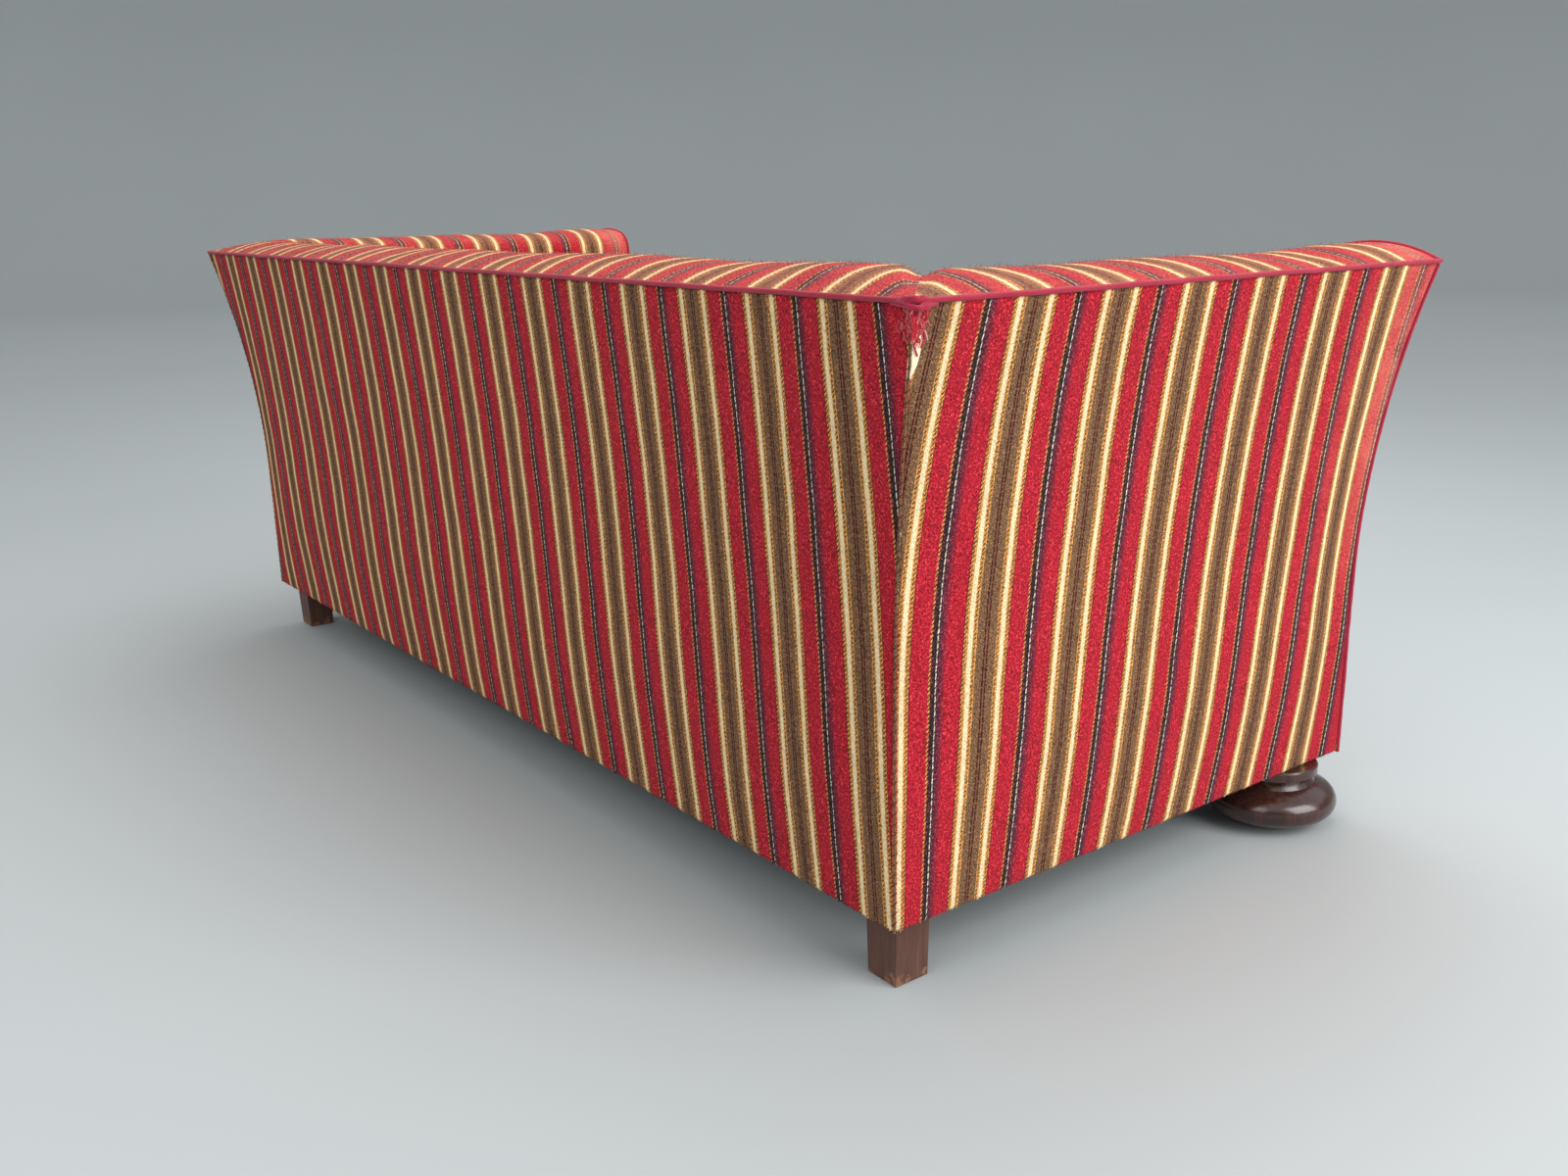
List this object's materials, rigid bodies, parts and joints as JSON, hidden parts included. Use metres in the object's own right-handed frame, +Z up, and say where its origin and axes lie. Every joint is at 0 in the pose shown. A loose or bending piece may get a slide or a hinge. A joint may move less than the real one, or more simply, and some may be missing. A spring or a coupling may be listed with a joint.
{
  "type": "three-seat sofa",
  "caption": "Upholstered sofa with arms and back that flare outward in one curve, padded piped top, striped cloth, loose seat cushions, turned bun feet in front and square legs behind.",
  "frame": {"origin": "on the floor, below the middle of the bounding box", "axes": "+X along the length, -Y towards the sitter's front, +Z up"},
  "size_m": [2.001, 0.839, 0.7485],
  "materials": {
    "striped_cloth": "woven wool bouclé in stripes of red, brown, ochre, cream and black",
    "piping": "crimson cord piping",
    "foot_wood": "dark stained hardwood, satin polish, worn at the edges",
    "frame_wood": "plain sawn beech",
    "stuffing": "cotton felt and hair stuffing",
    "hessian": "jute hessian",
    "webbing": "jute webbing",
    "deck_cloth": "plain platform cloth",
    "dust_cloth": "thin black lining cloth",
    "spring_steel": "coppered spring wire",
    "fastener_steel": "plain steel"
  },
  "bodies": {
    "sofa": {"arm_hessians": "hessian", "arm_stiles": "frame_wood", "arm_tacking_rails": "frame_wood", "back_hessian": "hessian", "back_stiles": "frame_wood", "back_stuffing": "stuffing", "back_tacking_rail": "frame_wood", "back_top_rail": "frame_wood", "dust_cover": "dust_cloth", "foot_block_screws": "fastener_steel", "foot_blocks": "frame_wood", "frame_dowels": "frame_wood", "front_border": "striped_cloth", "front_edge_roll": "stuffing", "front_foot_bolts": "fastener_steel", "front_seat_rail": "frame_wood", "inside_back_cover": "striped_cloth", "left_arm_facing": "striped_cloth", "left_arm_stuffing": "stuffing", "left_arm_top_rail": "frame_wood", "left_bun_foot": "foot_wood", "left_facing_piping": "piping", "left_front_post": "frame_wood", "left_inside_arm_cover": "striped_cloth", "left_outside_arm_cover": "striped_cloth", "left_rear_leg": "foot_wood", "left_rear_post": "frame_wood", "left_seat_rail": "frame_wood", "outside_back_cover": "striped_cloth", "rear_leg_dowels": "frame_wood", "rear_seat_rail": "frame_wood", "right_arm_facing": "striped_cloth", "right_arm_stuffing": "stuffing", "right_arm_top_rail": "frame_wood", "right_bun_foot": "foot_wood", "right_facing_piping": "piping", "right_front_post": "frame_wood", "right_inside_arm_cover": "striped_cloth", "right_outside_arm_cover": "striped_cloth", "right_rear_leg": "foot_wood", "right_rear_post": "frame_wood", "right_seat_rail": "frame_wood", "seat_cross_rails": "frame_wood", "seat_deck_cover": "deck_cloth", "seat_hessian": "hessian", "seat_springs": "spring_steel", "seat_stuffing": "stuffing", "seat_webbing_crosswise": "webbing", "seat_webbing_lengthwise": "webbing", "top_piping": "piping"},
    "left_cushion": {"left_cushion_cover": "striped_cloth", "left_cushion_filling": "stuffing", "left_cushion_piping": "piping"},
    "centre_cushion": {"centre_cushion_cover": "striped_cloth", "centre_cushion_filling": "stuffing", "centre_cushion_piping": "piping"},
    "right_cushion": {"right_cushion_cover": "striped_cloth", "right_cushion_filling": "stuffing", "right_cushion_piping": "piping"}
  },
  "joints": [
    {"name": "left_cushion_lift", "type": "slide", "parent": "sofa", "child": "left_cushion", "axis": [0, 0, 1], "range_m": [0, 0.47]},
    {"name": "centre_cushion_lift", "type": "slide", "parent": "sofa", "child": "centre_cushion", "axis": [0, 0, 1], "range_m": [0, 0.47]},
    {"name": "right_cushion_lift", "type": "slide", "parent": "sofa", "child": "right_cushion", "axis": [0, 0, 1], "range_m": [0, 0.47]}
  ]
}
